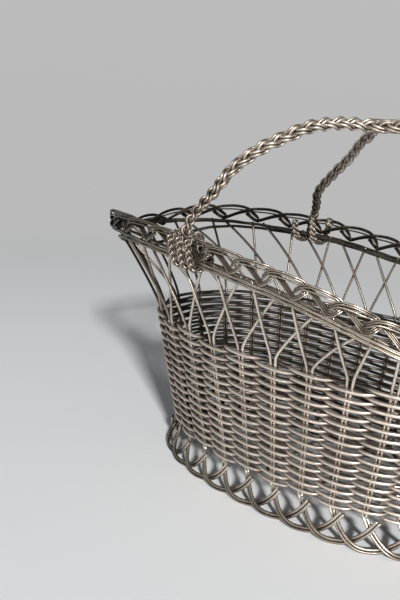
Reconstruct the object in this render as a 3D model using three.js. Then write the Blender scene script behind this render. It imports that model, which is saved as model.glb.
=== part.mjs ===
// Woven wire cradle that carries a lying round vessel: stakes, woven wall, braided rim and rope handle.
// Millimetres, +Z up, the pouring lip toward -X, resting on Z = 0.
import * as THREE from "three";

// Driving dimensions of the wall, measured on the middle of its wire
const STAKE_COUNT = 28;
const FIRST_STAKE_OFFSET = 0.34;
const BASE_HALF_LENGTH = 80;
const BASE_HALF_WIDTH = 43.5;
const WEAVE_TOP_HALF_LENGTH = 95.1;
const WEAVE_TOP_HALF_WIDTH = 55.5;
const OVAL_POWER = 2.37;
const FOOT_HEIGHT = 15;
const FOOT_SPREAD = 3.5;
const WEAVE_ROWS = 15;
const ROW_PITCH = 4.17;
const FIRST_ROW_LIFT = 1.5;

// Driving dimensions of the rim
const RIM_FRONT_HEIGHT = 111.5;
const RIM_BACK_HEIGHT = 85;
const RIM_FALL_START = 0.34;
const LIP_REACH = 31;
const LIP_RISE = 9;
const LIP_DIP = 8;
const LIP_CURVE = 1.5;
const LIP_SHARPNESS = 1.6;
const LIP_DIP_SHARPNESS = 6;

// Wire and rope sizes
const STAKE_WIRE = 1.44;
const WEAVER_WIRE = 1.7;
const BAND_WIRE = 1.9;
const BORDER_WIRE = 1.5;
const ROPE_DIAMETER = 6;
const LASHING_DIAMETER = 3.2;
const FLOOR_WIRE = 1.8;
const CLEARANCE = 0.3;

// Foot loops: each spans this many stake spaces and weaves under and over its neighbours
const LOOP_SPAN = 2.42;
const LOOP_LOWEST = 1.2;
const LOOP_ROUNDNESS = 2.2;
const LOOP_WAVE = 1.6;
const LOOP_WAVE_SHIFT = 0.17;
const LOOP_DRIFT = 0.95;
const LOOP_FLAT = 0.1;
const LOOP_SHOULDER = 0.5;

// Openwork: how far the two wires of a stake lean, in stake spaces, and how far they part at a crossing
const LEAN_LEFT = 0.5;
const LEAN_RIGHT = 1.1;
const LAST_LEAN_RIGHT = 0.3;
const CROSSING_PUSH = 0.95;
const OPENWORK_BACK_LIMIT = 48;

// Border braid and handle
const BORDER_WAVE_HEIGHT = 4.4;
const HANDLE_TOP = 178;
const HANDLE_JOINT_X = 10;
const HANDLE_STEM_LENGTH = 20;
const NEAR_FOOT_STATION = 19.12;
const FAR_FOOT_STATION = 9.24;
const NEAR_LASHING_STATION = 18.6;
const FAR_LASHING_STATION = 8.85;
const BACK_LASHING_STATION = -0.66;
const NEAR_LASHING_TURNS = 3;
const NEAR_LASHING_ADVANCE = 0.36;
const OTHER_LASHING_TURNS = 2;
const OTHER_LASHING_ADVANCE = 0.5;
const FLOOR_TURNS = 4;
const FLOOR_SPOKES = 5;

const weaveTop = FOOT_HEIGHT + FIRST_ROW_LIFT + WEAVE_ROWS * ROW_PITCH;
const wireRadius = STAKE_WIRE / 2;
const hexFlat = wireRadius * Math.cos(Math.PI / 6);
const bandHeight = 2 * BAND_WIRE + CLEARANCE;
const bandPush = wireRadius + 2 * CLEARANCE + BAND_WIRE / 2;
const weaverPush = wireRadius + 2 * CLEARANCE + WEAVER_WIRE / 2;
const borderPush = BORDER_WIRE / 2 + 2 * CLEARANCE;

const signedPower = (value, power) => Math.sign(value) * Math.abs(value) ** power;
const lerp = THREE.MathUtils.lerp;

// Angles of the oval at equal steps along the top of the weave
const ovalSteps = 1440;
const ovalLengths = [0];
for (let step = 1; step <= ovalSteps; step += 1) {
  const here = ovalPoint((2 * Math.PI * step) / ovalSteps, WEAVE_TOP_HALF_LENGTH, WEAVE_TOP_HALF_WIDTH);
  const last = ovalPoint((2 * Math.PI * (step - 1)) / ovalSteps, WEAVE_TOP_HALF_LENGTH, WEAVE_TOP_HALF_WIDTH);
  ovalLengths.push(ovalLengths[step - 1] + here.distanceTo(last));
}

function ovalPoint(angle, halfLength, halfWidth) {
  const power = 2 / OVAL_POWER;
  return new THREE.Vector2(
    halfLength * signedPower(Math.cos(angle), power),
    halfWidth * signedPower(Math.sin(angle), power),
  );
}

// A station counts stake spaces round the oval from the middle of the back
function angleAt(station) {
  const share = (((station / STAKE_COUNT) % 1) + 1) % 1;
  const length = share * ovalLengths[ovalSteps];
  let low = 0;
  let high = ovalSteps;
  while (high - low > 1) {
    const middle = (low + high) >> 1;
    if (ovalLengths[middle] <= length) low = middle;
    else high = middle;
  }
  const part = (length - ovalLengths[low]) / (ovalLengths[high] - ovalLengths[low]);
  return (2 * Math.PI * (low + part)) / ovalSteps;
}

// The rim rises on both sides of the lip, dips a little at its middle and falls smoothly to the back
function bandLevel(station) {
  const angle = angleAt(station);
  const back = (1 + Math.cos(angle)) / 2;
  const fall = THREE.MathUtils.smoothstep(back, RIM_FALL_START, 1);
  const lip = LIP_RISE * frontness(angle, LIP_SHARPNESS) - LIP_DIP * frontness(angle, LIP_DIP_SHARPNESS);
  return lerp(RIM_FRONT_HEIGHT, RIM_BACK_HEIGHT, fall) + lip;
}

// One at the middle of the front, nothing from the sides to the back
function frontness(angle, sharpness) {
  return Math.max(0, -Math.cos(angle)) ** sharpness;
}

// Middle of the wall: a straight flare through the weave, a trumpet lip above it, a small spread below
function wallPoint(station, height) {
  const angle = angleAt(station);
  const rise = (Math.max(height, FOOT_HEIGHT) - FOOT_HEIGHT) / (weaveTop - FOOT_HEIGHT);
  const spread = FOOT_SPREAD * Math.max(0, 1 - height / FOOT_HEIGHT);
  const halfLength = lerp(BASE_HALF_LENGTH, WEAVE_TOP_HALF_LENGTH, rise) + spread;
  const halfWidth = lerp(BASE_HALF_WIDTH, WEAVE_TOP_HALF_WIDTH, rise) + spread;
  const plan = ovalPoint(angle, halfLength, halfWidth);
  const wholeClimb = bandLevel(station) + bandHeight - weaveTop;
  const climb = THREE.MathUtils.clamp((height - weaveTop) / wholeClimb, 0, 1);
  const reach = LIP_REACH * frontness(angle, LIP_SHARPNESS) * climb ** LIP_CURVE;
  return new THREE.Vector3(plan.x - reach, plan.y, height);
}

function wallNormal(station, height) {
  const along = wallPoint(station + 0.05, height).sub(wallPoint(station - 0.05, height));
  const up = wallPoint(station, height + 0.5).sub(wallPoint(station, height - 0.5));
  return along.cross(up).normalize();
}

function offWall(station, height, push) {
  return wallPoint(station, height).addScaledVector(wallNormal(station, height), push);
}

// Rings of points become one closed skin, with end caps or joined end to start
class Skin {
  constructor() {
    this.points = [];
    this.faces = [];
  }

  ring(points) {
    const first = this.points.length;
    this.points.push(...points);
    return points.map((_, index) => first + index);
  }

  bridge(from, to) {
    from.forEach((corner, index) => {
      const next = (index + 1) % from.length;
      this.faces.push([corner, from[next], to[next]], [corner, to[next], to[index]]);
    });
  }

  cap(ring, flip) {
    for (let index = 1; index < ring.length - 1; index += 1) {
      const face = [ring[0], ring[index], ring[index + 1]];
      this.faces.push(flip ? face.reverse() : face);
    }
  }

  geometry() {
    const [a, b, c] = [new THREE.Vector3(), new THREE.Vector3(), new THREE.Vector3()];
    let volume = 0;
    this.faces.forEach((face) => {
      a.copy(this.points[face[0]]);
      b.copy(this.points[face[1]]);
      c.copy(this.points[face[2]]);
      volume += a.dot(b.cross(c));
    });
    const faces = volume < 0 ? this.faces.map((face) => [...face].reverse()) : this.faces;
    const geometry = new THREE.BufferGeometry();
    const places = this.points.flatMap((point) => point.toArray());
    geometry.setAttribute("position", new THREE.Float32BufferAttribute(places, 3));
    geometry.setIndex(faces.flat());
    geometry.computeVertexNormals();
    return geometry;
  }
}

// Places a flat section across a path: its first axis lies along the wall, its second points outward
function placeSection(section, centre, tangent, normal) {
  const out = normal.clone().addScaledVector(tangent, -normal.dot(tangent)).normalize();
  const side = tangent.clone().cross(out);
  return section.map(([a, b]) => centre.clone().addScaledVector(side, a).addScaledVector(out, b));
}

function roundSection(radius, sides, turn = 0) {
  return Array.from({ length: sides }, (_, index) => {
    const angle = turn + (2 * Math.PI * index) / sides;
    return [radius * Math.cos(angle), radius * Math.sin(angle)];
  });
}

function pathTangent(points, index, closed) {
  const count = points.length;
  const before = closed ? points[(index + count - 1) % count] : points[Math.max(0, index - 1)];
  const after = closed ? points[(index + 1) % count] : points[Math.min(count - 1, index + 1)];
  return after.clone().sub(before).normalize();
}

function sweep(section, points, normals, closed) {
  const skin = new Skin();
  const rings = points.map((point, index) => {
    return skin.ring(placeSection(section, point, pathTangent(points, index, closed), normals[index]));
  });
  for (let index = 1; index < rings.length; index += 1) skin.bridge(rings[index - 1], rings[index]);
  if (closed) skin.bridge(rings[rings.length - 1], rings[0]);
  else {
    skin.cap(rings[0], true);
    skin.cap(rings[rings.length - 1], false);
  }
  return skin.geometry();
}

// Colours of old plated wire: pale warm grey, and a darker grey for the ropes
const wireFinish = new THREE.MeshStandardMaterial({ color: 0xb0a698, roughness: 0.34, metalness: 1 });
const weaverFinish = new THREE.MeshStandardMaterial({ color: 0xa89d8e, roughness: 0.36, metalness: 1 });
const ropeFinish = new THREE.MeshStandardMaterial({ color: 0x9c9284, roughness: 0.38, metalness: 1 });

const cradle = new THREE.Group();
cradle.name = "cradle";

function addPiece(name, geometry, material) {
  const mesh = new THREE.Mesh(geometry, material);
  mesh.name = name;
  cradle.add(mesh);
}

const twoDigits = (index) => String(index + 1).padStart(2, "0");

// Two six-sided wires lying side by side, numbered round from the upper waist point
const pairSection = [
  [0, wireRadius / 2],
  [hexFlat, wireRadius],
  [2 * hexFlat, wireRadius / 2],
  [2 * hexFlat, -wireRadius / 2],
  [hexFlat, -wireRadius],
  [0, -wireRadius / 2],
  [-hexFlat, -wireRadius],
  [-2 * hexFlat, -wireRadius / 2],
  [-2 * hexFlat, wireRadius / 2],
  [-hexFlat, wireRadius],
];
const rightWireCorners = [0, 1, 2, 3, 4, 5];
const leftWireCorners = [5, 6, 7, 8, 9, 0];

// Height and outward push of a foot loop, by the stake spaces it has run from its own stake
const loopBottom = 2 * hexFlat;
const loopFlatLift = (FOOT_HEIGHT - loopBottom) * (LOOP_FLAT / LOOP_LOWEST) ** LOOP_ROUNDNESS;
function loopHeight(run) {
  const away = Math.abs(run - LOOP_LOWEST) / LOOP_LOWEST;
  return loopBottom - loopFlatLift + (FOOT_HEIGHT - loopBottom) * away ** LOOP_ROUNDNESS;
}
function loopPush(run) {
  const wave = Math.sin(Math.PI * (run - LOOP_WAVE_SHIFT)) + Math.sin(Math.PI * LOOP_WAVE_SHIFT);
  return LOOP_WAVE * wave + LOOP_DRIFT * run;
}

const loopRuns = [
  LOOP_SPAN,
  lerp(LOOP_LOWEST, LOOP_SPAN, 0.75),
  LOOP_LOWEST + LOOP_SHOULDER,
  LOOP_LOWEST + LOOP_FLAT,
  LOOP_LOWEST - LOOP_FLAT,
  LOOP_LOWEST - LOOP_SHOULDER,
  LOOP_LOWEST * 0.3,
];
const flatStart = loopRuns.indexOf(LOOP_LOWEST + LOOP_FLAT);

// Stakes near the back stand as plain doubles above the weave
function isOpenwork(station) {
  return wallPoint(station, weaveTop).x < OPENWORK_BACK_LIMIT;
}

function stakeGeometry(station) {
  const skin = new Skin();
  const path = loopRuns.map((run) => {
    const normal = wallNormal(station + run, FOOT_HEIGHT).setZ(0).normalize();
    const centre = wallPoint(station + run, loopHeight(run)).addScaledVector(normal, loopPush(run));
    return { centre, normal };
  });
  const splitHeight = weaveTop + wireRadius;
  const uprightNormal = wallNormal(station, (FOOT_HEIGHT + weaveTop) / 2);
  [FOOT_HEIGHT, splitHeight].forEach((height) => {
    path.push({ centre: wallPoint(station, height), normal: uprightNormal });
  });
  const centres = path.map((stop) => stop.centre);
  const flatTangent = centres[flatStart + 1].clone().sub(centres[flatStart]).normalize();
  const rings = path.map((stop, index) => {
    const onFlat = index === flatStart || index === flatStart + 1;
    const tangent = onFlat ? flatTangent : pathTangent(centres, index, false);
    return skin.ring(placeSection(pairSection, stop.centre, tangent, stop.normal));
  });
  for (let index = 1; index < rings.length; index += 1) skin.bridge(rings[index - 1], rings[index]);
  skin.cap(rings[0], true);
  const split = rings[rings.length - 1];
  const leanLeft = isOpenwork(station) ? LEAN_LEFT : 0;
  const fullLean = isOpenwork(station + 1) ? LEAN_RIGHT : LAST_LEAN_RIGHT;
  const leanRight = isOpenwork(station) ? fullLean : 0;
  addOpenworkWire(skin, leftWireCorners.map((corner) => split[corner]), station, splitHeight, -1, leanLeft);
  addOpenworkWire(skin, rightWireCorners.map((corner) => split[corner]), station, splitHeight, 1, leanRight);
  return skin.geometry();
}

// One wire of a stake above the weave, up to the top of the rim band
function addOpenworkWire(skin, startRing, station, startHeight, side, lean) {
  const spacing = wallPoint(station + 0.5, startHeight).distanceTo(wallPoint(station - 0.5, startHeight));
  const start = side * (hexFlat / spacing);
  const apart = side * ((hexFlat + CLEARANCE / 2) / spacing);
  const push = lean === 0 ? 0 : -side * CROSSING_PUSH;
  const stops = [0, 0.3, 0.6, 1].map((climb) => {
    const at = station + (climb === 0 ? start : apart) + side * lean * climb;
    const height = lerp(startHeight, bandLevel(at) + bandHeight, climb);
    const swing = push * Math.sin(Math.PI * climb);
    return { centre: offWall(at, height, swing), normal: wallNormal(at, height) };
  });
  const centres = stops.map((stop) => stop.centre);
  const section = [
    [-side * hexFlat, side * (wireRadius / 2)],
    [0, side * wireRadius],
    [side * hexFlat, side * (wireRadius / 2)],
    [side * hexFlat, -side * (wireRadius / 2)],
    [0, -side * wireRadius],
    [-side * hexFlat, -side * (wireRadius / 2)],
  ];
  let last = startRing;
  for (let index = 1; index < stops.length; index += 1) {
    const tangent = pathTangent(centres, index, false);
    const ring = skin.ring(placeSection(section, stops[index].centre, tangent, stops[index].normal));
    skin.bridge(last, ring);
    last = ring;
  }
  skin.cap(last, false);
}

for (let index = 0; index < STAKE_COUNT; index += 1) {
  addPiece(`stake_${twoDigits(index)}`, stakeGeometry(index + FIRST_STAKE_OFFSET), wireFinish);
}

// Two long wires wind up the wall from the back, along the near side first, and each passes outside
// the stakes that the other passes inside
function weaverGeometry(phase, lift) {
  const points = [];
  const normals = [];
  for (let step = 0; step <= WEAVE_ROWS * STAKE_COUNT; step += 1) {
    const station = FIRST_STAKE_OFFSET - step;
    const height = FOOT_HEIGHT + FIRST_ROW_LIFT + (ROW_PITCH * step) / STAKE_COUNT + lift;
    const outside = (step + phase) % 2 === 0 ? 1 : -1;
    points.push(offWall(station, height, outside * weaverPush));
    normals.push(wallNormal(station, height));
  }
  return sweep(roundSection(WEAVER_WIRE / 2, 4), points, normals, false);
}
addPiece("weaver_upper", weaverGeometry(0, ROW_PITCH / 4), weaverFinish);
addPiece("weaver_lower", weaverGeometry(1, -ROW_PITCH / 4), weaverFinish);

// Rim band: two wires outside the openwork's upper ends and one inside
const bandSteps = 2 * STAKE_COUNT;
function bandGeometry(lift, push) {
  const stations = Array.from({ length: bandSteps }, (_, step) => (step * STAKE_COUNT) / bandSteps);
  const points = stations.map((station) => offWall(station, bandLevel(station) + lift, push));
  const normals = stations.map((station) => wallNormal(station, bandLevel(station) + lift));
  return sweep(roundSection(BAND_WIRE / 2, 4), points, normals, true);
}
const lowerBandLift = BAND_WIRE / 2;
const upperBandLift = lowerBandLift + BAND_WIRE + CLEARANCE;
addPiece("band_wire_outer_lower", bandGeometry(lowerBandLift, bandPush), wireFinish);
addPiece("band_wire_outer_upper", bandGeometry(upperBandLift, bandPush), wireFinish);
addPiece("band_wire_inner", bandGeometry((lowerBandLift + upperBandLift) / 2, -bandPush), wireFinish);

// Braided border: two strands, each two wires wide, that rise and fall round each other
const borderSection = [
  [-BORDER_WIRE, 0],
  [-BORDER_WIRE / 2, -BORDER_WIRE / 2],
  [BORDER_WIRE / 2, -BORDER_WIRE / 2],
  [BORDER_WIRE, 0],
  [BORDER_WIRE / 2, BORDER_WIRE / 2],
  [-BORDER_WIRE / 2, BORDER_WIRE / 2],
];
const borderLift = bandHeight + 2 * CLEARANCE + BORDER_WIRE;
function borderGeometry(start) {
  const stepsPerWave = 6;
  const points = [];
  const normals = [];
  for (let step = 0; step < (STAKE_COUNT / 2) * stepsPerWave; step += 1) {
    const phase = (2 * Math.PI * step) / stepsPerWave;
    const station = start + (2 * step) / stepsPerWave;
    const height = bandLevel(station) + borderLift + BORDER_WAVE_HEIGHT * (0.5 - 0.5 * Math.cos(phase));
    points.push(offWall(station, height, borderPush * Math.sin(phase)));
    normals.push(wallNormal(station, height));
  }
  return sweep(borderSection, points, normals, true);
}
addPiece("border_strand_a", borderGeometry(FIRST_STAKE_OFFSET), wireFinish);
addPiece("border_strand_b", borderGeometry(FIRST_STAKE_OFFSET + 1), wireFinish);

// Round tube along a path, with its section turned by carrying the last outward direction along
function tubeGeometry(points, radius, sides) {
  let normal = new THREE.Vector3(0, 0, 1);
  const normals = points.map((_, index) => {
    const tangent = pathTangent(points, index, false);
    normal = normal.clone().addScaledVector(tangent, -normal.dot(tangent)).normalize();
    return normal;
  });
  return sweep(roundSection(radius, sides), points, normals, false);
}

// Least clear distance between a winding's own turns, measured on its points and printed
function printLeastGap(name, points, diameter, stepsPerTurn) {
  let least = Infinity;
  points.forEach((point, index) => {
    for (let other = index + Math.ceil(stepsPerTurn / 2); other < points.length; other += 1) {
      least = Math.min(least, point.distanceTo(points[other]) - diameter);
    }
  });
  console.log(`${name}: least gap to itself ${least.toFixed(2)} mm`);
}

// Handle: two ropes rise from the sides of the rim, meet above the middle and run back side by side
const ropeSide = ROPE_DIAMETER / 2 + CLEARANCE;
const borderTop = borderLift + BORDER_WAVE_HEIGHT + BORDER_WIRE;
const lashingHalfHeight = borderTop / 2 + 2 * CLEARANCE + LASHING_DIAMETER / 2;
const lashingTop = borderTop / 2 + lashingHalfHeight + LASHING_DIAMETER / 2;
const ropeSeat = (station) => wallPoint(station, bandLevel(station) + lashingTop + 2 * CLEARANCE);
const backEnd = ropeSeat(0);
const jointSide = ropeSide + CLEARANCE * 5;

// Shape of each leg from its seat to the joint, as shares of the way along X, Y and Z
const nearLegShape = [
  [0.04, 0.06, 0.14],
  [0.1, 0.17, 0.29],
  [0.22, 0.26, 0.51],
  [0.42, 0.34, 0.7],
  [0.57, 0.46, 0.83],
  [0.72, 0.55, 0.94],
  [0.86, 0.79, 1],
];
const farLegShape = [
  [0.04, 0.06, 0.14],
  [0.1, 0.17, 0.29],
  [0.29, 0.26, 0.51],
  [0.48, 0.34, 0.7],
  [0.61, 0.46, 0.83],
  [0.75, 0.55, 0.94],
  [0.87, 0.79, 1],
];

// Behind the joint the ropes run level, then curve down to the back as a quarter of an oval
const stemCurveSteps = 5;
function ropeGeometry(footStation, legShape, side) {
  const foot = ropeSeat(footStation);
  const joint = new THREE.Vector3(HANDLE_JOINT_X, side * jointSide, HANDLE_TOP);
  const way = joint.clone().sub(foot);
  const stops = [foot];
  legShape.forEach((shares) => {
    stops.push(foot.clone().add(new THREE.Vector3(...shares).multiply(way)));
  });
  stops.push(joint, new THREE.Vector3(HANDLE_JOINT_X + ROPE_DIAMETER, side * ropeSide, HANDLE_TOP));
  for (let step = 0; step <= stemCurveSteps; step += 1) {
    const angle = (Math.PI / 2) * (step / stemCurveSteps);
    const x = lerp(HANDLE_JOINT_X + HANDLE_STEM_LENGTH, backEnd.x, Math.sin(angle));
    stops.push(new THREE.Vector3(x, side * ropeSide, lerp(backEnd.z, HANDLE_TOP, Math.cos(angle))));
  }
  const curve = new THREE.CatmullRomCurve3(stops);
  return tubeGeometry(curve.getSpacedPoints(32), ROPE_DIAMETER / 2, 6);
}
addPiece("handle_rope_near", ropeGeometry(NEAR_FOOT_STATION, nearLegShape, -1), ropeFinish);
addPiece("handle_rope_far", ropeGeometry(FAR_FOOT_STATION, farLegShape, 1), ropeFinish);

// Lashings: rope wound round the band and border, passing between the openwork wires below
const lashingHalfWidth = bandPush + BAND_WIRE / 2 + 3 * CLEARANCE + LASHING_DIAMETER / 2;
const lashingSteps = 12;
function addLashing(name, firstStation, turns, stationsPerTurn) {
  const points = [];
  for (let step = 0; step <= turns * lashingSteps; step += 1) {
    const turn = step / lashingSteps;
    const angle = 2 * Math.PI * turn;
    const station = firstStation + stationsPerTurn * turn;
    const middle = bandLevel(station) + borderTop / 2;
    const up = wallPoint(station, middle + 0.5).sub(wallPoint(station, middle - 0.5)).normalize();
    const rise = lashingHalfHeight * signedPower(Math.cos(angle), 0.5);
    const push = lashingHalfWidth * signedPower(Math.sin(angle), 0.5);
    points.push(offWall(station, middle, push).addScaledVector(up, rise));
  }
  printLeastGap(name, points, LASHING_DIAMETER, lashingSteps);
  addPiece(name, tubeGeometry(points, LASHING_DIAMETER / 2, 5), ropeFinish);
}
addLashing("lashing_near", NEAR_LASHING_STATION, NEAR_LASHING_TURNS, NEAR_LASHING_ADVANCE);
addLashing("lashing_far", FAR_LASHING_STATION, OTHER_LASHING_TURNS, OTHER_LASHING_ADVANCE);
addLashing("lashing_back", BACK_LASHING_STATION, OTHER_LASHING_TURNS, OTHER_LASHING_ADVANCE);

// Floor: cross wires inside the lowest rows, and one wire wound over them in a flat oval
const floorLevel = FOOT_HEIGHT + ROW_PITCH;
const floorInset = weaverPush + WEAVER_WIRE / 2 + CLEARANCE + FLOOR_WIRE / 2;
const floorRise = (floorLevel - FOOT_HEIGHT) / (weaveTop - FOOT_HEIGHT);
const floorHalfLength = lerp(BASE_HALF_LENGTH, WEAVE_TOP_HALF_LENGTH, floorRise) - floorInset;
const floorHalfWidth = lerp(BASE_HALF_WIDTH, WEAVE_TOP_HALF_WIDTH, floorRise) - floorInset;
function floorSpokeGeometry(x) {
  const halfLength = floorHalfLength + FLOOR_WIRE / 2;
  const halfWidth = floorHalfWidth + FLOOR_WIRE / 2;
  const reach = halfWidth * (1 - Math.abs(x / halfLength) ** OVAL_POWER) ** (1 / OVAL_POWER);
  const ends = [new THREE.Vector3(x, -reach, floorLevel), new THREE.Vector3(x, reach, floorLevel)];
  return tubeGeometry(ends, FLOOR_WIRE / 2, 6);
}
for (let index = 0; index < FLOOR_SPOKES; index += 1) {
  const share = (index + 1) / (FLOOR_SPOKES + 1);
  const x = lerp(-floorHalfLength, floorHalfLength, share);
  addPiece(`floor_spoke_${index + 1}`, floorSpokeGeometry(x), wireFinish);
}
function floorWireGeometry() {
  const steps = 24;
  const shrink = (floorHalfWidth - FLOOR_WIRE) / (FLOOR_TURNS + 0.5);
  const points = [];
  for (let step = 0; step <= FLOOR_TURNS * steps; step += 1) {
    const inward = (shrink * step) / steps;
    const plan = ovalPoint((2 * Math.PI * step) / steps, floorHalfLength - inward, floorHalfWidth - inward);
    points.push(new THREE.Vector3(plan.x, plan.y, floorLevel + FLOOR_WIRE + CLEARANCE));
  }
  printLeastGap("floor_wire", points, FLOOR_WIRE, steps);
  return tubeGeometry(points, FLOOR_WIRE / 2, 4);
}
addPiece("floor_wire", floorWireGeometry(), wireFinish);

// The part stands on Z = 0 with the middle of its outline in plan at the origin
const outline = new THREE.Box3().setFromObject(cradle);
const middle = outline.getCenter(new THREE.Vector3());
cradle.position.set(-middle.x, -middle.y, -outline.min.z);

export default cradle;
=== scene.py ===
import math

import bpy
import numpy as np
from mathutils import Matrix, Vector


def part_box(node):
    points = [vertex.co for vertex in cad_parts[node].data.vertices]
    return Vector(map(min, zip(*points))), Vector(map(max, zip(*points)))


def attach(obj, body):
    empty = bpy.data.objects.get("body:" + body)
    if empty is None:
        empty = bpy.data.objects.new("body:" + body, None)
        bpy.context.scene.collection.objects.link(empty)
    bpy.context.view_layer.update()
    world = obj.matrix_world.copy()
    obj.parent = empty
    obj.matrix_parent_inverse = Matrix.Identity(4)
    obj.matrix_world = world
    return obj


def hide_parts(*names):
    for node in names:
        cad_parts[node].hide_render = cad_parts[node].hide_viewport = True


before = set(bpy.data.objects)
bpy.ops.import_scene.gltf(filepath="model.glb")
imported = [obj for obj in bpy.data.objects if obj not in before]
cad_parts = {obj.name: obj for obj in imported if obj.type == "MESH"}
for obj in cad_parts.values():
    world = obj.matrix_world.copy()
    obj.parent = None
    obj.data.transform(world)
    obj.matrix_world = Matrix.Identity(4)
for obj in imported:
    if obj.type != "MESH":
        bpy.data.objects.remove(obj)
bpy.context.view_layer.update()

# Stakes
# Each upright is two round wires side by side, cut from the same coil of silver-plated wire.
# They start as a cut end in the foot, sweep down into a loop, climb the wall as a close pair
# and part above the weave, where they cross their neighbours and end under the rim band.
MM = 0.001
STAKE_COUNT = 28
FIRST_STAKE = 0.34
STAKE_WIRE = 1.44 * MM
STAKE_SIDES = 10

# The wall that the stakes stand in is an oval that widens upward
BASE_HALF_LENGTH = 80 * MM
BASE_HALF_WIDTH = 43.5 * MM
TOP_HALF_LENGTH = 95.1 * MM
TOP_HALF_WIDTH = 55.5 * MM
OVAL_POWER = 2.37
OVAL_STEPS = 1440
FOOT_HEIGHT = 15 * MM
FOOT_SPREAD = 3.5 * MM
WEAVE_ROWS = 15
ROW_PITCH = 4.17 * MM
FIRST_ROW_LIFT = 1.5 * MM
WEAVE_TOP = FOOT_HEIGHT + FIRST_ROW_LIFT + WEAVE_ROWS * ROW_PITCH

spoke_low, spoke_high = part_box("floor_spoke_3")
oval_middle = np.array((spoke_low + spoke_high) / 2) * (1, 1, 0)


def signed_power(value, power):
    return np.sign(value) * np.abs(value) ** power


def smooth_rise(low, high, value):
    share = np.clip((value - low) / (high - low), 0, 1)
    return share * share * (3 - 2 * share)


def unit(vectors):
    return vectors / np.linalg.norm(vectors, axis=-1, keepdims=True)


def distance_along(line):
    return np.concatenate([[0], np.cumsum(np.linalg.norm(np.diff(line, axis=0), axis=1))])


def oval(angle, half_length, half_width):
    power = 2 / OVAL_POWER
    return half_length * signed_power(np.cos(angle), power), half_width * signed_power(np.sin(angle), power)


oval_angles = np.linspace(0, 2 * math.pi, OVAL_STEPS + 1)
oval_line = np.stack(oval(oval_angles, TOP_HALF_LENGTH, TOP_HALF_WIDTH), 1)
oval_lengths = distance_along(oval_line)


# A station counts stake spaces round the wall, from the middle of the back
def angle_at(station):
    share = np.mod(np.asarray(station, float) / STAKE_COUNT, 1)
    return np.interp(share * oval_lengths[-1], oval_lengths, oval_angles)


def frontness(angle, sharpness):
    return np.maximum(0, -np.cos(angle)) ** sharpness


# The rim is lower at the back, and reaches out into a lip at the front
RIM_FRONT_HEIGHT = 111.5 * MM
RIM_BACK_HEIGHT = 85 * MM
RIM_FALL_START = 0.34
BAND_HEIGHT = 4.1 * MM
LIP_REACH = 31 * MM
LIP_RISE = 9 * MM
LIP_DIP = 9.6 * MM
LIP_CURVE = 1.5
LIP_SHARPNESS = 1.6
LIP_DIP_SHARPNESS = 5


def band_level(station):
    angle = angle_at(station)
    fall = smooth_rise(RIM_FALL_START, 1, (1 + np.cos(angle)) / 2)
    lip = LIP_RISE * frontness(angle, LIP_SHARPNESS) - LIP_DIP * frontness(angle, LIP_DIP_SHARPNESS)
    return RIM_FRONT_HEIGHT + (RIM_BACK_HEIGHT - RIM_FRONT_HEIGHT) * fall + lip


def wall(station, height):
    station, height = np.broadcast_arrays(np.asarray(station, float), np.asarray(height, float))
    angle = angle_at(station)
    rise = (np.maximum(height, FOOT_HEIGHT) - FOOT_HEIGHT) / (WEAVE_TOP - FOOT_HEIGHT)
    spread = FOOT_SPREAD * np.maximum(0, 1 - height / FOOT_HEIGHT)
    half_length = BASE_HALF_LENGTH + (TOP_HALF_LENGTH - BASE_HALF_LENGTH) * rise + spread
    half_width = BASE_HALF_WIDTH + (TOP_HALF_WIDTH - BASE_HALF_WIDTH) * rise + spread
    x, y = oval(angle, half_length, half_width)
    climb = np.clip((height - WEAVE_TOP) / (band_level(station) + BAND_HEIGHT - WEAVE_TOP), 0, 1)
    reach = LIP_REACH * frontness(angle, LIP_SHARPNESS) * climb**LIP_CURVE
    return np.stack([x - reach, y, height], -1) + oval_middle


# Directions on the wall come from places a small step apart
STATION_STEP = 0.05
HEIGHT_STEP = 0.5 * MM


def wall_up(station, height):
    return wall(station, height + HEIGHT_STEP) - wall(station, height - HEIGHT_STEP)


def wall_normal(station, height):
    station, height = np.broadcast_arrays(np.asarray(station, float), np.asarray(height, float))
    along = wall(station + STATION_STEP, height) - wall(station - STATION_STEP, height)
    return unit(np.cross(along, wall_up(station, height)))


def off_wall(station, height, push):
    return wall(station, height) + wall_normal(station, height) * np.asarray(push)[..., None]


def tangents(path, closed=False):
    if closed:
        return unit(np.roll(path, -1, axis=0) - np.roll(path, 1, axis=0))
    return unit(np.gradient(path, axis=0))


# One bent wire: its middle line, the way that is outward along it, its radius, how dark it is, how much
# painted shade darkens its back, and how much painted shade lies on its left and right where another wire
# lies against it
def bent_wire(path, outward, radius, dark=0.0, back=0.5, side_shade=(0, 0), closed=False):
    along = tangents(path, closed)
    out = unit(outward - along * np.sum(outward * along, axis=1, keepdims=True))
    return {
        "path": path,
        "side": np.cross(along, out),
        "out": out,
        "radius": radius,
        "dark": dark,
        "back": back,
        "side_shade": side_shade,
        "closed": closed,
    }


# Painted shade darkens a wire's sides where another wire lies against it
PAINTED_CONTACT_SHADE = 0.6
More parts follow.
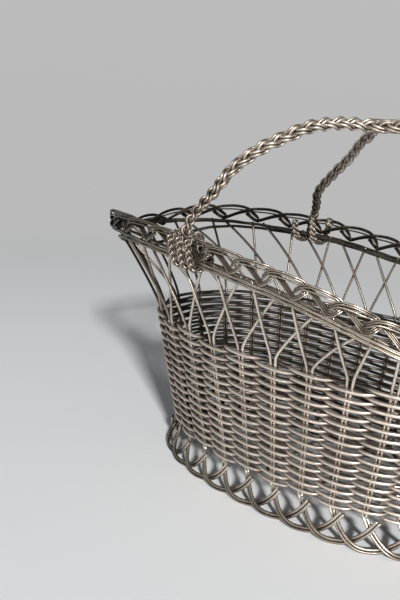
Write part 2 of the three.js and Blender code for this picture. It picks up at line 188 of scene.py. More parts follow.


# A piece is one or more wires as round tubes, with the tarnish and painted shade of each point kept beside
# its place
def wire_piece(name, wires, sides, material, slot, *nodes):
    points, faces, tarnish = [], [], []
    first = 0
    turn = np.linspace(0, 2 * math.pi, sides, endpoint=False)
    for wire in wires:
        count = len(wire["path"])
        ring = wire["side"][:, None] * np.cos(turn)[:, None] + wire["out"][:, None] * np.sin(turn)[:, None]
        points.append((wire["path"][:, None] + wire["radius"] * ring).reshape(-1, 3))
        dark = np.broadcast_to(np.asarray(wire["dark"], float).reshape(-1, 1), (count, 1))
        left, right = wire["side_shade"]
        contact_shade = left * np.maximum(0, -np.cos(turn)) ** 2 + right * np.maximum(0, np.cos(turn)) ** 2
        # Painted shade: each wire is darker on its back, facing into the wall, and on its sides where
        # another wire touches it
        tarnish.append((dark + wire["back"] * (0.5 - 0.5 * np.sin(turn)) + PAINTED_CONTACT_SHADE * contact_shade).ravel())
        rings = np.arange(count * sides).reshape(count, sides) + first
        following = np.roll(rings, -1, axis=0) if wire["closed"] else rings[1:]
        leading = rings if wire["closed"] else rings[:-1]
        quads = np.stack([leading, np.roll(leading, -1, 1), np.roll(following, -1, 1), following], -1)
        faces.extend(quads.reshape(-1, 4).tolist())
        if not wire["closed"]:
            faces.append(rings[0][::-1].tolist())
            faces.append(rings[-1].tolist())
        first += count * sides
    mesh = bpy.data.meshes.new(name)
    mesh.from_pydata(np.concatenate(points), [], faces)
    tarnish_and_shade_layer = mesh.attributes.new("tarnish", "FLOAT", "POINT")
    tarnish_and_shade_layer.data.foreach_set("value", np.concatenate(tarnish).astype(np.float32))
    mesh.polygons.foreach_set("use_smooth", [len(face) == 4 for face in faces])
    mesh.materials.append(material)
    piece = bpy.data.objects.new(name, mesh)
    bpy.context.scene.collection.objects.link(piece)
    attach(piece, "root")
    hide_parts(*nodes)


# A shader value: sums on values add Math nodes, and node() adds any other node
class Shade:
    def __init__(self, tree, socket=None):
        self.tree = tree
        self.socket = socket

    def node(self, kind, settings, sockets, output=0):
        made = self.tree.nodes.new("ShaderNode" + kind)
        for name, value in settings.items():
            if name == "stops":
                while len(made.color_ramp.elements) < len(value):
                    made.color_ramp.elements.new(0.5)
                for element, (place, colour) in zip(made.color_ramp.elements, value):
                    element.position = place
                    element.color = (*colour, 1)
            else:
                setattr(made, name, value)
        for name, value in sockets.items():
            if isinstance(value, Shade):
                self.tree.links.new(value.socket, made.inputs[name])
            else:
                made.inputs[name].default_value = value
        return Shade(self.tree, made.outputs[output] if made.outputs else None)

    def reckon(self, operation, other):
        return self.node("Math", {"operation": operation}, {0: self, 1: other})

    def __add__(self, other):
        return self.reckon("ADD", other)

    def __mul__(self, other):
        return self.reckon("MULTIPLY", other)

    def __sub__(self, other):
        return self.reckon("SUBTRACT", other)


# Patches and specks of tarnish, each with the scale, detail and roughness of its noise
PATCHES = {"Scale": 55.0, "Detail": 4.0, "Roughness": 0.6}
SPECKS = {"Scale": 700.0, "Detail": 3.0, "Roughness": 0.65}
NOISE_MIDDLE = 0.5
HOLLOW_AND_SHADE_DARK = 0.95
PATCH_DARK = 0.7
SPECK_DARK = 0.4
LIP_SHADE_START = 10 * MM
LIP_SHADE_END = -100 * MM
LIP_SHADE_DARK = 0.36
WORN_AT = 0.4
TARNISHED_AT = 0.9
TARNISH_ROUGHNESS = 0.2
PIT_STRENGTH = 0.07
PIT_DEPTH = 0.2 * MM


# Old silver plate: pale and warm where it is rubbed, brown where tarnish stays in the hollows, with painted
# shade on the backs of wires, between wires that touch and where they pass inside or under, and a little
# darker toward the lip, which is painted shade too
def old_silver(name, bright, worn, tarnished, metal, sheen_roughness):
    material = bpy.data.materials.new(name)
    material.use_nodes = True
    tree = material.node_tree
    tree.nodes.clear()
    start = Shade(tree)
    place = start.node("TexCoord", {}, {}, "Object")
    patches = start.node("TexNoise", {}, {"Vector": place, **PATCHES})
    specks = start.node("TexNoise", {}, {"Vector": place, **SPECKS})
    # The tarnish and painted shade kept on each point
    hollow_and_shade = start.node("Attribute", {"attribute_name": "tarnish"}, {}, "Fac")
    forward = start.node("SeparateXYZ", {}, {"Vector": place}, "X")
    # Painted shade: darker toward the lip end
    lip_shade = start.node(
        "MapRange",
        {"interpolation_type": "SMOOTHSTEP"},
        {"Value": forward, "From Min": LIP_SHADE_START, "From Max": LIP_SHADE_END, "To Max": LIP_SHADE_DARK},
    )
    mottle = (patches - NOISE_MIDDLE) * PATCH_DARK + (specks - NOISE_MIDDLE) * SPECK_DARK
    amount = hollow_and_shade * HOLLOW_AND_SHADE_DARK + mottle + lip_shade
    colour = start.node(
        "ValToRGB",
        {"stops": [(0.0, bright), (WORN_AT, worn), (TARNISHED_AT, tarnished)]},
        {"Fac": amount},
        "Color",
    )
    pits = start.node(
        "Bump",
        {},
        {"Height": specks, "Strength": PIT_STRENGTH, "Distance": PIT_DEPTH},
        "Normal",
    )
    shader = start.node(
        "BsdfPrincipled",
        {},
        {
            "Base Color": colour,
            "Metallic": metal,
            "Roughness": amount * TARNISH_ROUGHNESS + sheen_roughness,
            "Normal": pits,
        },
    )
    start.node("OutputMaterial", {}, {"Surface": shader})
    return material


stake_silver = old_silver(
    "stake_silver",
    bright=(0.74, 0.66, 0.57),
    worn=(0.32, 0.27, 0.22),
    tarnished=(0.033, 0.026, 0.02),
    metal=0.8,
    sheen_roughness=0.2,
)

# A foot loop runs on past its neighbours, and is lowest and darkest halfway
LOOP_SPAN = 2.42
LOOP_LOWEST = 1.2
LOOP_ROUNDNESS = 2.2
LOOP_WAVE = 1.6 * MM
LOOP_WAVE_SHIFT = 0.17
LOOP_DRIFT = 0.95 * MM
LOOP_REST = 1.25 * MM
LOOP_DARK = 0.5
LOOP_STEPS = 63


def loop_away(run):
    return np.abs(run - LOOP_LOWEST) / LOOP_LOWEST


def loop_height(run):
    return LOOP_REST + (FOOT_HEIGHT - LOOP_REST) * loop_away(run) ** LOOP_ROUNDNESS


def loop_push(run):
    wave = np.sin(math.pi * (run - LOOP_WAVE_SHIFT)) + math.sin(math.pi * LOOP_WAVE_SHIFT)
    return LOOP_WAVE * wave + LOOP_DRIFT * run


# In the openwork the two wires of a stake lean apart, in stake spaces, except toward the back
LEAN_LEFT = 0.5
LEAN_RIGHT = 1.1
LAST_LEAN_RIGHT = 0.3
LEAN_SOFTNESS = 0.004
CROSSING_PUSH = 0.95 * MM
OPENWORK_BACK_LIMIT = 48 * MM
OPENWORK_STEPS = 25
UPRIGHT_POINTS = 24
PART_BELOW_TOP = 9 * MM
PART_WIDTH = 0.55 * MM


def is_openwork(station):
    return wall(station, WEAVE_TOP)[0] - oval_middle[0] < OPENWORK_BACK_LIMIT


def stake_wires(station):
    run = np.linspace(LOOP_SPAN, 0, LOOP_STEPS + 1)[:-1]
    loop_out = unit(wall_normal(station + run, FOOT_HEIGHT) * (1, 1, 0))
    loop = wall(station + run, loop_height(run)) + loop_out * loop_push(run)[:, None]
    upright = wall(station, np.linspace(FOOT_HEIGHT, WEAVE_TOP, UPRIGHT_POINTS))
    upright_out = np.broadcast_to(wall_normal(station, (FOOT_HEIGHT + WEAVE_TOP) / 2), upright.shape)
    pair_line = np.concatenate([loop, upright])
    pair_out = np.concatenate([loop_out, upright_out])
    pair = bent_wire(pair_line, pair_out, STAKE_WIRE / 2)
    part = PART_WIDTH * smooth_rise(WEAVE_TOP - PART_BELOW_TOP, WEAVE_TOP, pair_line[:, 2])
    climb = np.linspace(0, 1, OPENWORK_STEPS + 1)[1:]
    swerve = np.sqrt(climb**2 + LEAN_SOFTNESS) - math.sqrt(LEAN_SOFTNESS)
    swerve /= math.sqrt(1 + LEAN_SOFTNESS) - math.sqrt(LEAN_SOFTNESS)
    loop_dark = LOOP_DARK * (1 - loop_away(run) ** 2)
    dark = np.concatenate([loop_dark, np.zeros(len(upright) + len(climb))])
    spacing = np.linalg.norm(wall(station + 0.5, WEAVE_TOP) - wall(station - 0.5, WEAVE_TOP))
    leans = is_openwork(station)
    lean_right = LEAN_RIGHT if is_openwork(station + 1) else LAST_LEAN_RIGHT
    wires = []
    for way, lean, side_shade in ((-1, LEAN_LEFT, (0, 1)), (1, lean_right, (1, 0))):
        lower = pair_line + pair["side"] * (way * (STAKE_WIRE / 2 + part))[:, None]
        parted = station + way * (STAKE_WIRE / 2 + PART_WIDTH) / spacing
        at = parted + way * leans * lean * swerve
        height = WEAVE_TOP + (band_level(at) + BAND_HEIGHT - WEAVE_TOP) * climb
        swing = -way * leans * CROSSING_PUSH * np.sin(math.pi * climb)
        path = np.concatenate([lower, off_wall(at, height, swing)])
        outward = np.concatenate([pair_out, wall_normal(at, height)])
        wires.append(bent_wire(path, outward, STAKE_WIRE / 2, dark, side_shade=side_shade))
    return wires


for index in range(STAKE_COUNT):
    number = f"{index + 1:02d}"
    wires = stake_wires(index + FIRST_STAKE)
    wire_piece(f"stake_wires_{number}", wires, STAKE_SIDES, stake_silver, "stake_wire", f"stake_{number}")

# Woven wall
# Two long wires wind up the wall together from the back. Each passes outside the stakes that the
# other passes inside, half a row apart, so that every stake shows one level stroke a row.
WEAVER_WIRE = 1.7 * MM
WEAVER_SIDES = 10
WEAVER_OUT = 1.65 * MM
WEAVER_TILT = 0.2 * MM
WEAVER_BEND = 0.62
WEAVER_STEPS = 12
# Painted shade on the weaver's sides where it lies against its neighbours
WEAVER_SIDE_SHADE = (0.7, 0.3)
INSIDE_START = 0.45
INSIDE_END = -0.5
INSIDE_PAINTED_SHADE = 0.8

weaver_silver = old_silver(
    "weaver_silver",
    bright=(0.73, 0.64, 0.56),
    worn=(0.41, 0.345, 0.295),
    tarnished=(0.035, 0.028, 0.022),
    metal=0.78,
    sheen_roughness=0.3,
)


def weaver(half_turns, lift):
    stakes_passed = WEAVE_ROWS * STAKE_COUNT
    step = np.linspace(0, stakes_passed, stakes_passed * WEAVER_STEPS + 1)
    phase = math.pi * (step + half_turns)
    station = FIRST_STAKE - step
    level = FOOT_HEIGHT + FIRST_ROW_LIFT + ROW_PITCH * step / STAKE_COUNT + lift
    swing = signed_power(np.cos(phase), WEAVER_BEND)
    path = off_wall(station, level + WEAVER_TILT * np.sin(phase), WEAVER_OUT * swing)
    # Painted shade: the wire is darker where it passes inside the stakes
    dark = INSIDE_PAINTED_SHADE * smooth_rise(INSIDE_START, INSIDE_END, np.cos(phase))
    return bent_wire(path, wall_normal(station, level), WEAVER_WIRE / 2, dark, side_shade=WEAVER_SIDE_SHADE)


for name, half_turns, lift in (("upper", 0, ROW_PITCH / 4), ("lower", 1, -ROW_PITCH / 4)):
    woven = [weaver(half_turns, lift)]
    wire_piece(f"woven_wire_{name}", woven, WEAVER_SIDES, weaver_silver, "weaver_wire", f"weaver_{name}")

# Rim band
# A flat band of thin wires, slowly twisted, runs round the top of the openwork. Two bundles lie
# outside the stake ends and one inside, and grip them between. At the lip the outer two part.
BAND_WIRE = 0.95 * MM
BAND_WIRES = 3
BAND_SIDES = 8
BAND_BUNDLE = 1.8 * MM
BAND_LOW = 0.65 * MM
CLEARANCE = 0.3 * MM
BAND_PUSH = STAKE_WIRE / 2 + 2 * CLEARANCE + BAND_BUNDLE / 2
BAND_TWISTS = 14
BAND_FLATNESS = 0.5
BAND_STEPS = 560
BAND_DARK = 0.14
# Painted shade between the band wires, which lie against each other
BAND_SIDE_SHADE = (0.9, 0.9)
LOWER_TIP_LIFT = -6.5 * MM
UPPER_TIP_LIFT = 1.2 * MM
BAND_TIP_SHARPNESS = 8

rim_silver = old_silver(
    "rim_silver",
    bright=(0.68, 0.605, 0.51),
    worn=(0.30, 0.25, 0.20),
    tarnished=(0.03, 0.023, 0.017),
    metal=0.88,
    sheen_roughness=0.23,
)


def band_bundle(lift, tip_lift, push):
    station = np.linspace(0, STAKE_COUNT, BAND_STEPS, endpoint=False)
    level = band_level(station) + lift
    level += tip_lift * frontness(angle_at(station), BAND_TIP_SHARPNESS)
    outward = wall_normal(station, level)
    reach = (BAND_BUNDLE - BAND_WIRE) / 2
    wires = []
    for index in range(BAND_WIRES):
        turn = 2 * math.pi * (BAND_TWISTS * station / STAKE_COUNT + index / BAND_WIRES)
        sideways = push + BAND_FLATNESS * reach * np.sin(turn)
        path = off_wall(station, level + reach * np.cos(turn), sideways)
        wires.append(bent_wire(path, outward, BAND_WIRE / 2, BAND_DARK, side_shade=BAND_SIDE_SHADE, closed=True))
    return wires


lower_lift = BAND_LOW + BAND_BUNDLE / 2
upper_lift = lower_lift + BAND_BUNDLE
for name, lift, tip_lift, push in (
    ("outer_lower", lower_lift, LOWER_TIP_LIFT, BAND_PUSH),
    ("outer_upper", upper_lift, UPPER_TIP_LIFT, BAND_PUSH),
    ("inner", (lower_lift + upper_lift) / 2, 0, -BAND_PUSH),
):
    bundle = band_bundle(lift, tip_lift, push)
    wire_piece(f"band_bundle_{name}", bundle, BAND_SIDES, rim_silver, "stake_wire", f"band_wire_{name}")

# Braided border
# Ribbons of three wires stand on the band. Each starts inside, rises in front of its neighbour,
# arches along the rim, dives behind the next riser and ends as a small hook on the band.
BORDER_WIRE = 0.86 * MM
BORDER_SIDES = 8
BORDER_UNITS = 35
BORDER_START = 1.10
BORDER_LOW = 5.6 * MM
BORDER_TALL = 6.0 * MM
BORDER_TIP_DROP = 0.42
BORDER_TIP_SHARPNESS = 12
BORDER_POINTS = 84
BORDER_DARK = 0.22
# Along the rim in spaces of one ribbon, share of the height, outward push and gap above the lowest
# wire of the ribbon in millimetres, and twist in hundreds of degrees
BORDER_STOPS = (
    (-0.12, 0.12, -1.8, 0.0, 0.5),
    (-0.05, 0.27, 0.3, 0.0, 0.5),
    (0.05, 0.50, 1.5, 0.0, 0.4),
    (0.18, 0.83, 1.8, 0.1, 0.25),
    (0.36, 1.04, 1.6, 0.5, 0.05),
    (0.60, 1.11, 1.0, 0.8, 0.0),
    (0.90, 1.02, -0.2, 0.6, 0.1),
    (1.16, 0.84, -1.6, 0.1, 0.3),
    (1.38, 0.62, -1.3, 0.0, 0.5),
    (1.62, 0.34, -0.3, 0.0, 0.6),
    (1.82, 0.08, 0.8, 0.0, 0.6),
    (1.93, -0.03, 1.6, 0.0, 0.5),
    (2.03, -0.04, 2.3, 0.0, 0.45),
    (2.13, 0.12, 2.3, 0.0, 0.4),
    (2.22, 0.36, 1.6, 0.0, 0.3),
    (2.29, 0.54, 0.4, 0.0, 0.3),
)
STEPS_BETWEEN_STOPS = 24


# A smooth line through a few stops, with its points evenly spaced along it
def smooth_line(stops, count):
    stops = np.array(stops, float)
    stops = np.concatenate([[2 * stops[0] - stops[1]], stops, [2 * stops[-1] - stops[-2]]])
    share = np.linspace(0, 1, STEPS_BETWEEN_STOPS, endpoint=False)[:, None]
    square, cube = share**2, share**3
    line = []
    for before, start, end, after in zip(stops, stops[1:], stops[2:], stops[3:]):
        first = np.linalg.norm(start - before) ** 0.5
        middle = np.linalg.norm(end - start) ** 0.5
        last = np.linalg.norm(after - end) ** 0.5
        leave = (start - before) / first - (end - before) / (first + middle) + (end - start) / middle
        arrive = (end - start) / middle - (after - start) / (middle + last) + (after - end) / last
        line.append(
            (2 * cube - 3 * square + 1) * start
            + (cube - 2 * square + share) * leave * middle
            + (3 * square - 2 * cube) * end
            + (cube - square) * arrive * middle
        )
    line = np.concatenate([*line, stops[-2:-1]])
    walked = distance_along(line)
    even = np.linspace(0, walked[-1], count)
    return np.stack([np.interp(even, walked, column) for column in line.T], 1)


border_shape = smooth_line(BORDER_STOPS, BORDER_POINTS)


def border_ribbon(index):
    at = BORDER_START + (index + border_shape[:, 0]) * STAKE_COUNT / BORDER_UNITS
    flattened = 1 - BORDER_TIP_DROP * frontness(angle_at(at), BORDER_TIP_SHARPNESS)
    level = band_level(at) + (BORDER_LOW + BORDER_TALL * border_shape[:, 1]) * flattened
    middle = off_wall(at, level, border_shape[:, 2] * MM)
    ribbon = bent_wire(middle, wall_normal(at, level), BORDER_WIRE / 2)
    gap = border_shape[:, 3:4] * MM
    twist = np.radians(100 * border_shape[:, 4:])
    across = ribbon["side"] * np.cos(twist) + ribbon["out"] * np.sin(twist)
    outward = ribbon["out"] * np.cos(twist) - ribbon["side"] * np.sin(twist)
    wires = []
    for offset, side_shade in ((-BORDER_WIRE, (0, 1)), (0, (1, 1)), (BORDER_WIRE + gap, (1, 0))):
        path = middle + across * offset
        wires.append(bent_wire(path, outward, BORDER_WIRE / 2, BORDER_DARK, side_shade=side_shade))
    return wires


for strand, begin in (("a", 0), ("b", 1)):
    ribbons = []
    for index in range(begin, BORDER_UNITS, 2):
        ribbons.extend(border_ribbon(index))
    node = f"border_strand_{strand}"
    wire_piece(f"border_braid_{strand}", ribbons, BORDER_SIDES, rim_silver, "stake_wire", node)

# Handle
# Two plaited wire ropes rise from the sides of the rim, meet above the middle and run back side
# by side to the rear of the rim. Each is three flat strands of wire worked over and under.
ROPE_DIAMETER = 6 * MM
LASHING_DIAMETER = 3.2 * MM
HANDLE_TOP = 178 * MM
HANDLE_JOINT_X = 10 * MM
HANDLE_STEM_LENGTH = 20 * MM
BORDER_TOP = 12.1 * MM
LASHING_HALF_HEIGHT = BORDER_TOP / 2 + 2 * CLEARANCE + LASHING_DIAMETER / 2
ROPE_SIDE = ROPE_DIAMETER / 2 + CLEARANCE
JOINT_SIDE = ROPE_SIDE + 5 * CLEARANCE
SUNK = 4 * MM
SUNK_WAY = np.array([-0.1, 0, -1])
STEM_STOPS = 5
ROPE_POINTS = 520
# For each rope: the station of its foot, its side, how far up it starts to turn its flat face, and
# its leg as shares of the way to the joint
ROPES = {
    "near": (
        19.12,
        -1,
        0 * MM,
        (
            (0.04, 0.06, 0.14),
            (0.10, 0.17, 0.30),
            (0.22, 0.26, 0.54),
            (0.42, 0.34, 0.735),
            (0.57, 0.46, 0.85),
            (0.72, 0.55, 0.945),
            (0.86, 0.79, 1.00),
        ),
    ),
    "far": (
        9.24,
        1,
        65 * MM,
        (
            (0.04, 0.06, 0.08),
            (0.10, 0.17, 0.24),
            (0.29, 0.26, 0.475),
            (0.48, 0.34, 0.68),
            (0.61, 0.46, 0.82),
            (0.75, 0.55, 0.935),
            (0.87, 0.79, 1.00),
        ),
    ),
}

rope_silver = old_silver(
    "rope_silver",
    bright=(0.69, 0.615, 0.53),
    worn=(0.32, 0.265, 0.215),
    tarnished=(0.03, 0.023, 0.018),
    metal=0.78,
    sheen_roughness=0.38,
)


def rope_seat(station):
    lashing_top = BORDER_TOP / 2 + LASHING_HALF_HEIGHT + LASHING_DIAMETER / 2
    return wall(station, band_level(station) + lashing_top + 2 * CLEARANCE) - oval_middle


def handle_line(foot_station, side, leg_shape):
    foot = rope_seat(foot_station)
    joint = np.array([HANDLE_JOINT_X, side * JOINT_SIDE, HANDLE_TOP])
    back = rope_seat(0.0)
    stops = [foot + SUNK_WAY * SUNK, foot]
    stops += [foot + (joint - foot) * share for share in leg_shape]
    stops += [joint, np.array([HANDLE_JOINT_X + ROPE_DIAMETER, side * ROPE_SIDE, HANDLE_TOP])]
    stem_start = HANDLE_JOINT_X + HANDLE_STEM_LENGTH
    for angle in np.linspace(0, math.pi / 2, STEM_STOPS + 1):
        x = stem_start + (back[0] - stem_start) * math.sin(angle)
        z = back[2] + (HANDLE_TOP - back[2]) * math.cos(angle)
        stops.append(np.array([x, side * ROPE_SIDE, z]))
    stops.append(stops[-1] - np.array([0, 0, SUNK]))
    return smooth_line(stops, ROPE_POINTS) + oval_middle


PLAIT_STRANDS = 3
PLAIT_DEPTH = 0.95
PLAIT_TILT = 0.7
UNDER_PAINTED_SHADE = 0.5


# Three strands change places across the rope, each of wires lying side by side
def plait(line, flat_way, width, plait_length, strand_wires, wire, dark=0.0):
    guide = bent_wire(line, flat_way, wire / 2)
    worked = np.cumsum(np.diff(distance_along(line), prepend=0) / plait_length)
    across = (width - strand_wires * wire) / 2
    depth = PLAIT_DEPTH * wire
    wires = []
    for strand in range(PLAIT_STRANDS):
        turn = 2 * math.pi * (worked + strand / PLAIT_STRANDS)
        sway = np.sin(turn)
        over = np.sin(2 * turn)
        path = line + guide["side"] * (across * sway)[:, None] + guide["out"] * (depth * over)[:, None]
        ribbon = bent_wire(path, guide["out"] + PLAIT_TILT * guide["side"] * sway[:, None], wire / 2)
        # Painted shade where a strand passes between the others, added to the darker foot
        dark_and_under_shade = dark + UNDER_PAINTED_SHADE * (1 - np.abs(over))
        for index in range(strand_wires):
            offset = (index - (strand_wires - 1) / 2) * wire
            side_shade = (int(index > 0), int(index < strand_wires - 1))
            lay = path + ribbon["side"] * offset
            wires.append(bent_wire(lay, ribbon["out"], wire / 2, dark_and_under_shade, back=0.0, side_shade=side_shade))
    return wires


# The plait is narrower, tighter and darker at its foot, and turns its flat face on the way up
PLAIT_WIRE = 1.35 * MM
PLAIT_WIRES = 2
PLAIT_SIDES = 8
PLAIT_LENGTH = 22 * MM
PLAIT_FOOT_LENGTH = 14.5 * MM
PLAIT_WIDTH = 6.4 * MM
PLAIT_FOOT_WIDTH = 4.9 * MM
PLAIT_FOOT_DARK = 0.4
PLAIT_TURN_LENGTH = 55 * MM

for name, (station, side, turn_start, leg_shape) in ROPES.items():
    line = handle_line(station, side, leg_shape)
    walked = distance_along(line)
    turned = smooth_rise(turn_start, turn_start + PLAIT_TURN_LENGTH, walked)[:, None]
    foot_facing = (0.88, -0.47 * side, 0)
    top_facing = (-0.45 * side, -1, -0.35 * side)
    facing = (1 - turned) * foot_facing + turned * top_facing
    opened = smooth_rise(0, PLAIT_TURN_LENGTH, walked)
    width = PLAIT_FOOT_WIDTH + (PLAIT_WIDTH - PLAIT_FOOT_WIDTH) * opened
    length = PLAIT_FOOT_LENGTH + (PLAIT_LENGTH - PLAIT_FOOT_LENGTH) * opened
    dark = PLAIT_FOOT_DARK * (1 - opened)
    rope = plait(line, facing, width, length, PLAIT_WIRES, PLAIT_WIRE, dark)
    wire_piece(f"handle_plait_{name}", rope, PLAIT_SIDES, rope_silver, "rope", f"handle_rope_{name}")

# Lashings
# A thinner plait is wound round band and border at each foot of the handle and at the back, and
# holds the ropes down on the rim. Its two ends are tucked away on the inside.
# For each lashing: the station where it starts, its turns and its advance a turn in stake spaces
LASHINGS = {"near": (18.80, 3, 0.24), "far": (8.85, 2, 0.45), "back": (-0.5, 2, 0.48)}
WOUND_HALF_HEIGHT = 7.1 * MM
LASHING_HALF_WIDTH = BAND_PUSH + BAND_BUNDLE / 2 + 3 * CLEARANCE + LASHING_DIAMETER / 2
LASHING_ROUNDNESS = 0.5
LASHING_WIRE = 0.72 * MM
LASHING_WIRES = 3
LASHING_SIDES = 6
LASHING_PLAIT_WIDTH = 4.3 * MM
LASHING_PLAIT_LENGTH = 9 * MM
STOPS_A_TURN = 22
POINTS_A_TURN = 160
TUCKED = 0.22

lashing_silver = old_silver(
    "lashing_silver",
    bright=(0.52, 0.455, 0.385),
    worn=(0.22, 0.18, 0.145),
    tarnished=(0.03, 0.023, 0.018),
    metal=0.8,
    sheen_roughness=0.27,
)


def lashing_line(first_station, turns, advance):
    turn = np.linspace(-TUCKED, turns - TUCKED, STOPS_A_TURN * turns)
    station = first_station + advance * turn
    level = band_level(station) + BORDER_TOP / 2
    rise = WOUND_HALF_HEIGHT * signed_power(np.cos(2 * math.pi * turn), LASHING_ROUNDNESS)
    push = LASHING_HALF_WIDTH * signed_power(np.sin(2 * math.pi * turn), LASHING_ROUNDNESS)
    line = off_wall(station, level, push) + unit(wall_up(station, level)) * rise[:, None]
    wound = smooth_line(np.hstack([line, wall(station, level)]), POINTS_A_TURN * turns)
    return wound[:, :3], wound[:, :3] - wound[:, 3:]


for name, (station, turns, advance) in LASHINGS.items():
    line, outward = lashing_line(station, turns, advance)
    wound = plait(line, outward, LASHING_PLAIT_WIDTH, LASHING_PLAIT_LENGTH, LASHING_WIRES, LASHING_WIRE)
    wire_piece(f"lashing_plait_{name}", wound, LASHING_SIDES, lashing_silver, "rope", f"lashing_{name}")

# Floor
# Cross wires lie inside the lowest rows, and one wire is wound over them in a flat oval,
# as the bottoms of such holders are made. It is seen only from above and below.
FLOOR_WIRE = 1.8 * MM
FLOOR_DARK = 0.2
FLOOR_SPOKES = 5
SPOKE_SIDES = 10
SPOKE_POINTS = 12
FLOOR_TURNS = 4
FLOOR_TURNS_TO_MIDDLE = 4.5
FLOOR_SIDES = 8
FLOOR_POINTS_A_TURN = 96

straight_up = np.array([0.0, 0, 1])
for index in range(FLOOR_SPOKES):
    node = f"floor_spoke_{index + 1}"
    low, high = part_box(node)
    middle = (low + high) / 2
    line = np.linspace((middle.x, low.y, middle.z), (middle.x, high.y, middle.z), SPOKE_POINTS)
    spoke = [bent_wire(line, straight_up, FLOOR_WIRE / 2, FLOOR_DARK)]
    wire_piece(f"floor_cross_wire_{index + 1}", spoke, SPOKE_SIDES, stake_silver, "stake_wire", node)

low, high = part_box("floor_wire")
floor_level = (low.z + high.z) / 2
floor_inset = STAKE_WIRE / 2 + 3 * CLEARANCE + WEAVER_WIRE + FLOOR_WIRE / 2
floor_rise = ROW_PITCH / (WEAVE_TOP - FOOT_HEIGHT)
floor_half_length = BASE_HALF_LENGTH + (TOP_HALF_LENGTH - BASE_HALF_LENGTH) * floor_rise - floor_inset
floor_half_width = BASE_HALF_WIDTH + (TOP_HALF_WIDTH - BASE_HALF_WIDTH) * floor_rise - floor_inset
winding = np.linspace(0, FLOOR_TURNS, FLOOR_POINTS_A_TURN * FLOOR_TURNS)
inward = (floor_half_width - FLOOR_WIRE) / FLOOR_TURNS_TO_MIDDLE * winding
x, y = oval(2 * math.pi * winding, floor_half_length - inward, floor_half_width - inward)
spiral = np.stack([x, y, np.full_like(x, floor_level)], 1) + oval_middle
floor_wire = [bent_wire(spiral, straight_up, FLOOR_WIRE / 2, FLOOR_DARK)]
wire_piece("floor_winding", floor_wire, FLOOR_SIDES, stake_silver, "stake_wire", "floor_wire")

# Stage
# A plain pale floor, a pale background that metal sees too, one soft lamp on the right, a weaker
# one in front that draws thin bright lines on the wires, and the camera.
FLOOR_COLOUR = (0.80, 0.805, 0.81, 1)
FLOOR_ROUGHNESS = 0.8
FLOOR_REACH = 6.0
FADE_START = 0.25
FADE_END = 0.9
BACKDROP_COLOUR = (0.49, 0.49, 0.49)

floor_paint = bpy.data.materials.new("floor_paint")
floor_paint.use_nodes = True
floor_paint.node_tree.nodes.clear()
start = Shade(floor_paint.node_tree)
place = start.node("TexCoord", {}, {}, "Object")
away = start.node("VectorMath", {"operation": "LENGTH"}, {0: place}, "Value")
fade = start.node(
    "MapRange",
    {"interpolation_type": "SMOOTHSTEP"},
    {"Value": away, "From Min": FADE_START, "From Max": FADE_END},
)
matt = start.node("BsdfPrincipled", {}, {"Base Color": FLOOR_COLOUR, "Roughness": FLOOR_ROUGHNESS})
pale = start.node("Emission", {}, {"Color": (*BACKDROP_COLOUR, 1)})
ground = start.node("MixShader", {}, {0: fade, 1: matt, 2: pale})
start.node("OutputMaterial", {}, {"Surface": ground})

floor_mesh = bpy.data.meshes.new("floor")
corners = [(-1, -1, 0), (1, -1, 0), (1, 1, 0), (-1, 1, 0)]
floor_mesh.from_pydata([Vector(corner) * FLOOR_REACH for corner in corners], [], [(0, 1, 2, 3)])
floor_mesh.materials.append(floor_paint)
floor = bpy.data.objects.new("floor", floor_mesh)
bpy.context.scene.collection.objects.link(floor)

# The background's colour from level with the eye to straight up, and the soft light from all round
BACKDROP_STOPS = [
    (0.0, BACKDROP_COLOUR),
    (0.2, (0.5, 0.5, 0.5)),
    (0.5, (0.1, 0.1, 0.1)),
    (1.0, (0.05, 0.05, 0.05)),
]
SOFT_LIGHT_COLOUR = (0.9, 0.95, 1.0, 1)
SOFT_LIGHT_STRENGTH = 0.13

world = bpy.data.worlds.new("studio")
bpy.context.scene.world = world
world.use_nodes = True
world.node_tree.nodes.clear()
start = Shade(world.node_tree)
rays = world.node_tree.nodes.new("ShaderNodeLightPath")
seen = Shade(world.node_tree, rays.outputs["Is Camera Ray"])
seen = seen + Shade(world.node_tree, rays.outputs["Is Glossy Ray"])
seen = seen + Shade(world.node_tree, rays.outputs["Is Transmission Ray"])
direction = start.node("TexCoord", {}, {}, "Generated")
height = start.node("SeparateXYZ", {}, {"Vector": direction}, "Z")
backdrop = start.node("ValToRGB", {"stops": BACKDROP_STOPS}, {"Fac": height}, "Color")
shown = start.node("Background", {}, {"Color": backdrop, "Strength": 1.0})
lighting = start.node("Background", {}, {"Color": SOFT_LIGHT_COLOUR, "Strength": SOFT_LIGHT_STRENGTH})
mixed = start.node("MixShader", {}, {0: seen, 1: lighting, 2: shown})
start.node("OutputWorld", {}, {"Surface": mixed})

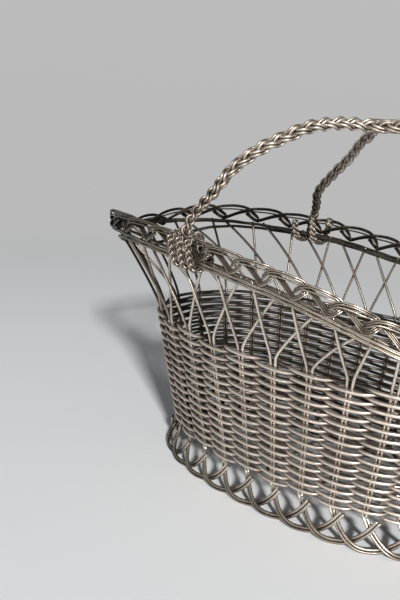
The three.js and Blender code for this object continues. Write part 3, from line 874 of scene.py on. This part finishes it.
IMAGE_WIDTH = 400
IMAGE_HEIGHT = 600
FOCAL_PIXELS = 671.76
PRINCIPAL_X = 190.644
PRINCIPAL_Y = 318.041
CAMERA_PLACE = np.array([154.466, -287.514, 171.224]) * MM + oval_middle
CAMERA_YAW = math.radians(40.217)
CAMERA_PITCH = math.radians(15.687)
CAMERA_ROLL = math.radians(3.920)
CAMERA_CLIP = 10 * MM
SENSOR = 36.0

ahead = Vector(
    (
        -math.sin(CAMERA_YAW) * math.cos(CAMERA_PITCH),
        math.cos(CAMERA_YAW) * math.cos(CAMERA_PITCH),
        -math.sin(CAMERA_PITCH),
    )
)
level_right = ahead.cross(Vector((0, 0, 1))).normalized()
level_up = level_right.cross(ahead)
right = level_right * math.cos(CAMERA_ROLL) + level_up * math.sin(CAMERA_ROLL)
upward = level_up * math.cos(CAMERA_ROLL) - level_right * math.sin(CAMERA_ROLL)

lens = bpy.data.cameras.new("camera")
lens.sensor_width = SENSOR
lens.lens = FOCAL_PIXELS * SENSOR / IMAGE_HEIGHT
lens.shift_x = (IMAGE_WIDTH / 2 - PRINCIPAL_X) / IMAGE_HEIGHT
lens.shift_y = (PRINCIPAL_Y - IMAGE_HEIGHT / 2) / IMAGE_HEIGHT
lens.clip_start = CAMERA_CLIP
camera = bpy.data.objects.new("camera", lens)
camera_turn = Matrix((right, upward, -ahead)).transposed()
camera.matrix_world = Matrix.Translation(Vector(CAMERA_PLACE)) @ camera_turn.to_4x4()
bpy.context.scene.collection.objects.link(camera)
bpy.context.scene.camera = camera

# For each lamp: its place, its size and its power in watts
LAMPS = {
    "key_lamp": ((2.68, -2.42, 1.91), 0.38, 230.0),
    "fill_lamp": ((0.25, -2.55, 0.77), 0.25, 7.0),
}
LAMP_AIM = (0, 0, 0.07)

for name, (place, size, power) in LAMPS.items():
    light = bpy.data.lights.new(name, "AREA")
    light.size = size
    light.energy = power
    lamp = bpy.data.objects.new(name, light)
    lamp.location = place
    lamp.rotation_mode = "QUATERNION"
    lamp.rotation_quaternion = (Vector(LAMP_AIM) - Vector(place)).to_track_quat("-Z", "Y")
    bpy.context.scene.collection.objects.link(lamp)

bpy.context.scene.view_settings.view_transform = "Standard"
